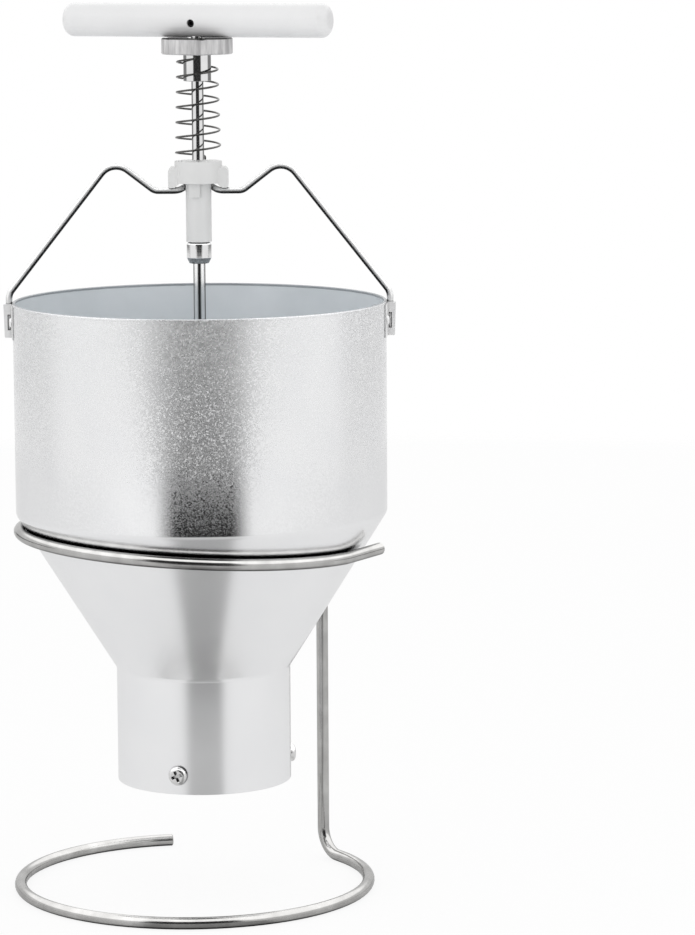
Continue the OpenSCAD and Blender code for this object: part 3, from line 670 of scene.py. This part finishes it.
piece(
    "hopper_shell", lathe("hopper_shell", hopper_outline(), 240),
    "hopper", aluminium, ["hopper"],
)
for lug in ("left_bail_lug", "right_bail_lug"):
    piece(lug + "_plate", softened(lug, 0.2 * MM), "hopper", lug_steel, [lug])
piece("lug_rivet_set", softened("lug_rivets", 0.08 * MM), "hopper", lug_steel, ["lug_rivets"])
piece(
    "sleeve_screw_set", softened("sleeve_screws", 0.1 * MM),
    "hopper", zinc_steel, ["sleeve_screws"],
)


# Bail, crosshead and guide
def bail_half():
    """Centreline of the bail's right half, from the middle of the arch to the foot of the leg."""
    saddle_z = rim_z + bail_rise
    shift = math.hypot(bail_arch_y, bail_arch_rise)
    tilt = math.atan2(bail_arch_rise, bail_arch_y)
    slant = (shift - 2 * bail_arch_r * (1 - math.cos(bail_arch_angle))) / math.sin(bail_arch_angle)
    saddle_x = (bail_arch_half + 2 * bail_arch_r * math.sin(bail_arch_angle)
                + slant * math.cos(bail_arch_angle))
    dip = Vector((bail_dip, saddle_z))
    hump = Vector((bail_hump, saddle_z + bail_hump_rise))
    leg_top = Vector((leg_x, rim_z + bail_leg_rise))
    climb = math.atan2(hump.y - dip.y, hump.x - dip.x)
    fall = math.atan2(hump.y - leg_top.y, leg_top.x - hump.x)
    dip_tangent = bail_dip_r * math.tan(climb / 2)
    hump_tangent = bail_hump_r * math.tan((climb + fall) / 2)
    leg_tangent = bail_leg_r * math.tan((math.pi / 2 - fall) / 2)
    roll = tilt - math.pi / 2
    wire = Bender(Matrix.Translation((0, bail_arch_y, saddle_z + bail_arch_rise))
                  @ Matrix.Rotation(math.pi / 2, 4, "Y"), math.radians(6))
    wire.feed(bail_arch_half, 2).roll(roll).bend(bail_arch_r, bail_arch_angle).feed(slant, 2)
    wire.roll(math.pi).bend(bail_arch_r, bail_arch_angle).roll(math.pi - roll)
    wire.feed(bail_dip - saddle_x - dip_tangent, 3)
    wire.roll(math.pi).bend(bail_dip_r, climb).roll(math.pi)
    wire.feed((hump - dip).length - dip_tangent - hump_tangent, 8).bend(bail_hump_r, climb + fall)
    wire.feed((leg_top - hump).length - hump_tangent - leg_tangent, 20).bend(bail_leg_r, math.pi / 2 - fall)
    wire.feed(leg_top.y - leg_tangent - leg_foot_z, 6)
    return wire.path


right_half = bail_half()
left_half = [Vector((-p.x, p.y, p.z)) for p in right_half[1:]]
piece(
    "bail", sweep("bail", list(reversed(left_half)) + right_half, bail_d / 2, 24, 0.3 * MM),
    "hopper", bail_steel, ["bail_wire"],
)
piece(
    "crosshead_block", softened("crosshead", 0.6 * MM, 3),
    "hopper", white_plastic, ["crosshead"],
)
piece(
    "guide_bush", softened("guide_sleeve", 0.3 * MM),
    "hopper", guide_plastic, ["guide_sleeve"],
)


# Return spring
def spring_path(turn_steps=40, bend_steps=6):
    """Short upright end, tight bend, tapering coil, and the same again at the top."""
    low_z = spring_low.z + spring_wire_d + spring_end_r
    top_z = spring_high.z - spring_wire_d - spring_end_r
    end_angle = spring_start + 2 * math.pi * spring_turns

    def spot(r, angle, along, z):
        a = angle + along / r
        return Vector((r * math.cos(a), r * math.sin(a), z))

    def end_bend(r, angle, tip_z, up):
        slope = math.atan((top_z - low_z) / spring_turns / (2 * math.pi * r))
        bends = [math.pi / 2 - (math.pi / 2 - slope) * k / bend_steps for k in range(bend_steps + 1)]
        points = [spot(r, angle, -up * spring_end_r, tip_z)]
        for b in bends:
            z = tip_z + up * (spring_wire_d + spring_end_r * math.cos(b))
            points.append(spot(r, angle, -up * spring_end_r * math.sin(b), z))
        return points

    steps = round(turn_steps * spring_turns)
    coil = []
    for k in range(1, steps):
        share = k / steps
        r = spring_low_r + (spring_top_r - spring_low_r) * share
        angle = spring_start + (end_angle - spring_start) * share
        coil.append(spot(r, angle, 0, low_z + (top_z - low_z) * share))
    low = end_bend(spring_low_r, spring_start, spring_low.z, 1)
    top = end_bend(spring_top_r, end_angle, spring_high.z, -1)
    return low + coil + list(reversed(top))


spring = piece(
    "return_spring_coil", sweep("return_spring_coil", spring_path(), spring_wire_d / 2, 12, 0.2 * MM),
    "hopper", spring_steel, ["return_spring"],
)
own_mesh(spring)


# Pieces that move, and the sleeve that they run in
piece(
    "stop_tube", softened("stop_sleeve", 0.3 * MM),
    "stop_sleeve", polished_steel, ["stop_sleeve"],
)
piece(
    "stroke_disc", softened("stroke_dial", 0.15 * MM),
    "dial", dial_aluminium, ["stroke_dial"],
)
piece(
    "handle_grip", softened("handle_bar", 0.2 * MM),
    "plunger", handle_plastic, ["handle_bar"],
)
for name, node, slot, material, edge in (
    ("set_screw", "handle_set_screw", "black_steel", black_steel, 0.1),
    ("upper_rod_bar", "upper_rod", "polished_steel", polished_steel, 0.3),
    ("rod_coupling_nut", "rod_coupling", "polished_steel", polished_steel, 0.2),
    ("lower_rod_bar", "lower_rod", "polished_steel", rod_steel, 0.3),
    ("piston_disc", "piston", "white_plastic", white_plastic, 0.2),
    ("piston_nut_pair", "piston_nuts", "screw_steel", zinc_steel, 0.25),
    ("core_cutter", "core_disc", "polished_steel", polished_steel, 0.15),
    ("lock_nut", "disc_lock_nut", "screw_steel", zinc_steel, 0.25),
    ("cap_nut", "disc_cap_nut", "polished_steel", polished_steel, 0.2),
):
    piece(name, softened(node, edge * MM), "plunger", material, [node])
piece(
    "outlet_bush", softened("outlet_sleeve", 0.3 * MM),
    "hopper", white_plastic, ["outlet_sleeve"],
)


# Studio, white to the camera, in which metal sees a dark gap in front and a dark strip on each side

# Bearings of the gap's two soft edges on the near table, far off and at eye level
LOW_GAP = [math.radians(a) for a in (-26, -14, 20, 29)]
FAR_GAP = [math.radians(a) for a in (-29, -12, 18, 33)]
LEVEL_GAP = [math.radians(a) for a in (-36, -28, 27, 35)]

# Bearings of a strip's two soft edges, the same to the left and to the right
STRIP_FROM = (math.radians(92), math.radians(104))
STRIP_TO = (math.radians(150), math.radians(162))

GAP_DEPTH = 0.97
LAMP_AIM = Vector((0, 0, 0.25))
floor_r = 1.9
floor_fade = 0.93


class Studio(NodeTree):
    """Node tree of the world or the floor, started from nothing."""

    def __init__(self, tree):
        super().__init__(tree)
        tree.nodes.clear()

    def ease(self, value, start, end, low=0.0, high=1.0):
        return self.map_range(value, start, end, low, high, "SMOOTHSTEP")

    def seen(self):
        """Camera rays, and the glossy and transmission rays by which metal sees the surround."""
        path = self.node("ShaderNodeLightPath")
        shiny = self.math("MAXIMUM", path.outputs["Is Glossy Ray"], path.outputs["Is Transmission Ray"])
        return path.outputs["Is Camera Ray"], shiny

    def bearing(self, x, y):
        """Angle round the part's axis, 0 towards the camera."""
        return self.math("ARCTAN2", x, self.math("MULTIPLY", y, -1.0))

    def gap(self, angle, edges):
        """1 inside the dark gap in front of the part."""
        left = self.ease(angle, *edges[:2])
        right = self.ease(angle, *edges[2:], 1.0, 0.0)
        return self.math("MULTIPLY", left, right)


def light_world():
    """Surround that is white to the camera, with the gap, strips and roof in reflections alone."""
    ambient = 0.87
    roof_level = 2.0
    strip_least, strip_depth = 0.03, 0.75
    eye_level = (-0.08, -0.066)
    gap_foot, gap_head = (-0.1, -0.09), (0.62, 0.7)
    strip_foot, strip_head = (-0.088, -0.078), (0.0, 0.05)
    roof_edge = (0.3, 0.42)
    world = bpy.data.worlds.new("studio")
    world.use_nodes = True
    bpy.context.scene.world = world
    s = Studio(world.node_tree)
    split = s.node("ShaderNodeSeparateXYZ")
    s.feed(split.inputs[0], s.node("ShaderNodeTexCoord").outputs["Generated"])
    x, y, z = split.outputs
    angle = s.bearing(x, y)
    level_rays = s.ease(z, *eye_level)
    far_gap = s.math("MULTIPLY", s.gap(angle, FAR_GAP), s.math("SUBTRACT", 1.0, level_rays))
    gap = s.math("ADD", far_gap, s.math("MULTIPLY", s.gap(angle, LEVEL_GAP), level_rays))
    gap_low = s.ease(z, *gap_foot, 0.0, GAP_DEPTH)
    gap_top = s.ease(z, *gap_head, 1.0, 0.0)
    front = s.math("MULTIPLY", gap, s.math("MULTIPLY", gap_low, gap_top))
    turn = s.math("ABSOLUTE", angle)
    strips = s.math("MULTIPLY", s.ease(turn, *STRIP_FROM), s.ease(turn, *STRIP_TO, 1.0, 0.0))
    strip_low = s.ease(z, *strip_foot, strip_least, strip_depth)
    strip_top = s.ease(z, *strip_head, 1.0, 0.0)
    sides = s.math("MULTIPLY", strips, s.math("MULTIPLY", strip_low, strip_top))
    surround = s.math("SUBTRACT", 1.0, s.math("MAXIMUM", front, sides))
    roof = s.ease(z, *roof_edge, 1.0, roof_level)
    surround = s.math("MULTIPLY", surround, roof)
    camera, shiny = s.seen()
    level = s.math("ADD", s.math("MULTIPLY", shiny, s.math("SUBTRACT", surround, ambient)), ambient)
    level = s.math("MAXIMUM", level, camera)
    background = s.node("ShaderNodeBackground")
    background.inputs["Color"].default_value = (1, 1, 1, 1)
    s.feed(background.inputs["Strength"], level)
    output = s.node("ShaderNodeOutputWorld")
    s.feed(output.inputs["Surface"], background.outputs[0])


def floor_material():
    """White table; metal sees it a little darker, with the gap's sector darker still."""
    shadow_seen, shadow_reflected = 0.12, 0.7
    table_level = 0.94
    near_reach, near_depth = (0.2, 0.4), (0.52, 0.3)
    far_reach = (0.5, 0.85)
    material = bpy.data.materials.new("floor")
    material.use_nodes = True
    s = Studio(material.node_tree)
    split = s.node("ShaderNodeSeparateXYZ")
    s.feed(split.inputs[0], s.node("ShaderNodeTexCoord").outputs["Object"])
    x, y, _ = split.outputs
    angle = s.bearing(x, y)
    away = s.math("SQRT", s.math("ADD", s.math("MULTIPLY", x, x), s.math("MULTIPLY", y, y)))
    near = s.math("MULTIPLY", s.gap(angle, LOW_GAP), s.ease(away, *near_reach, *near_depth))
    far = s.math("MULTIPLY", s.gap(angle, FAR_GAP), s.ease(away, *far_reach, 0.0, GAP_DEPTH))
    lit = s.math("SUBTRACT", 1.0, s.math("MAXIMUM", near, far))
    camera, shiny = s.seen()
    reflected = s.math("MULTIPLY", lit, table_level)
    level = s.math("SUBTRACT", 1.0, s.math("MULTIPLY", shiny, s.math("SUBTRACT", 1.0, reflected)))
    tone = s.node("ShaderNodeCombineColor")
    for channel in tone.inputs:
        s.feed(channel, level)
    shade = s.node("ShaderNodeBsdfDiffuse")
    s.feed(shade.inputs["Color"], tone.outputs[0])
    glow = s.node("ShaderNodeEmission")
    s.feed(glow.inputs["Strength"], level)
    mix = s.node("ShaderNodeMixShader")
    glow_seen = s.math("MULTIPLY", camera, 1 - shadow_seen)
    glow_reflected = s.math("MULTIPLY", shiny, 1 - shadow_reflected)
    s.feed(mix.inputs[0], s.math("ADD", glow_seen, glow_reflected))
    s.feed(mix.inputs[1], shade.outputs[0])
    s.feed(mix.inputs[2], glow.outputs[0])
    fade = s.node("ShaderNodeMixShader")
    s.feed(fade.inputs[0], s.ease(away, floor_fade * floor_r, floor_r))
    s.feed(fade.inputs[1], mix.outputs[0])
    s.feed(fade.inputs[2], s.node("ShaderNodeBsdfTransparent").outputs[0])
    output = s.node("ShaderNodeOutputMaterial")
    s.feed(output.inputs["Surface"], fade.outputs[0])
    return material


def lay_floor():
    bm = bmesh.new()
    bmesh.ops.create_circle(bm, cap_ends=True, segments=96, radius=floor_r)
    mesh = mesh_of("floor", bm)
    mesh.materials.append(floor_material())
    floor = bpy.data.objects.new("floor", mesh)
    bpy.context.scene.collection.objects.link(floor)


def softbox(name, place, size, watts):
    light = bpy.data.lights.new(name, "AREA")
    light.shape = "RECTANGLE"
    light.size, light.size_y = size
    light.energy = watts
    lamp = bpy.data.objects.new(name, light)
    aim = LAMP_AIM - Vector(place)
    lamp.visible_glossy = False
    lamp.matrix_world = Matrix.Translation(place) @ aim.to_track_quat("-Z", "Y").to_matrix().to_4x4()
    bpy.context.scene.collection.objects.link(lamp)


light_world()
lay_floor()
softbox("key_left", (-1.3, -1.7, 0.55), (1.1, 1.0), 5)
softbox("fill_right", (1.5, -1.5, 0.55), (1.1, 1.0), 3)
softbox("top", (0.1, -0.3, 2.2), (1.2, 0.8), 0.5)


# Camera at the photograph's viewpoint
IMAGE_H = 935
focal_px = 3979.2
eye = Vector((0.0523, -2.1235, 0.5307))
yaw, pitch, roll = 0.01240, 0.14045, -0.00569


def set_camera():
    ahead = Vector((math.sin(yaw) * math.cos(pitch), math.cos(yaw) * math.cos(pitch), -math.sin(pitch)))
    level = ahead.cross(UP).normalized()
    rise = level.cross(ahead)
    right = math.cos(roll) * level + math.sin(roll) * rise
    top = math.cos(roll) * rise - math.sin(roll) * level
    data = bpy.data.cameras.new("camera")
    data.sensor_width = 36
    data.lens = data.sensor_width * focal_px / IMAGE_H
    data.clip_end = 50
    camera = bpy.data.objects.new("camera", data)
    turned = Matrix((right, top, -ahead)).transposed().to_4x4()
    camera.matrix_world = Matrix.Translation(eye) @ turned
    bpy.context.scene.collection.objects.link(camera)
    bpy.context.scene.camera = camera


set_camera()
bpy.context.scene.view_settings.view_transform = "Standard"
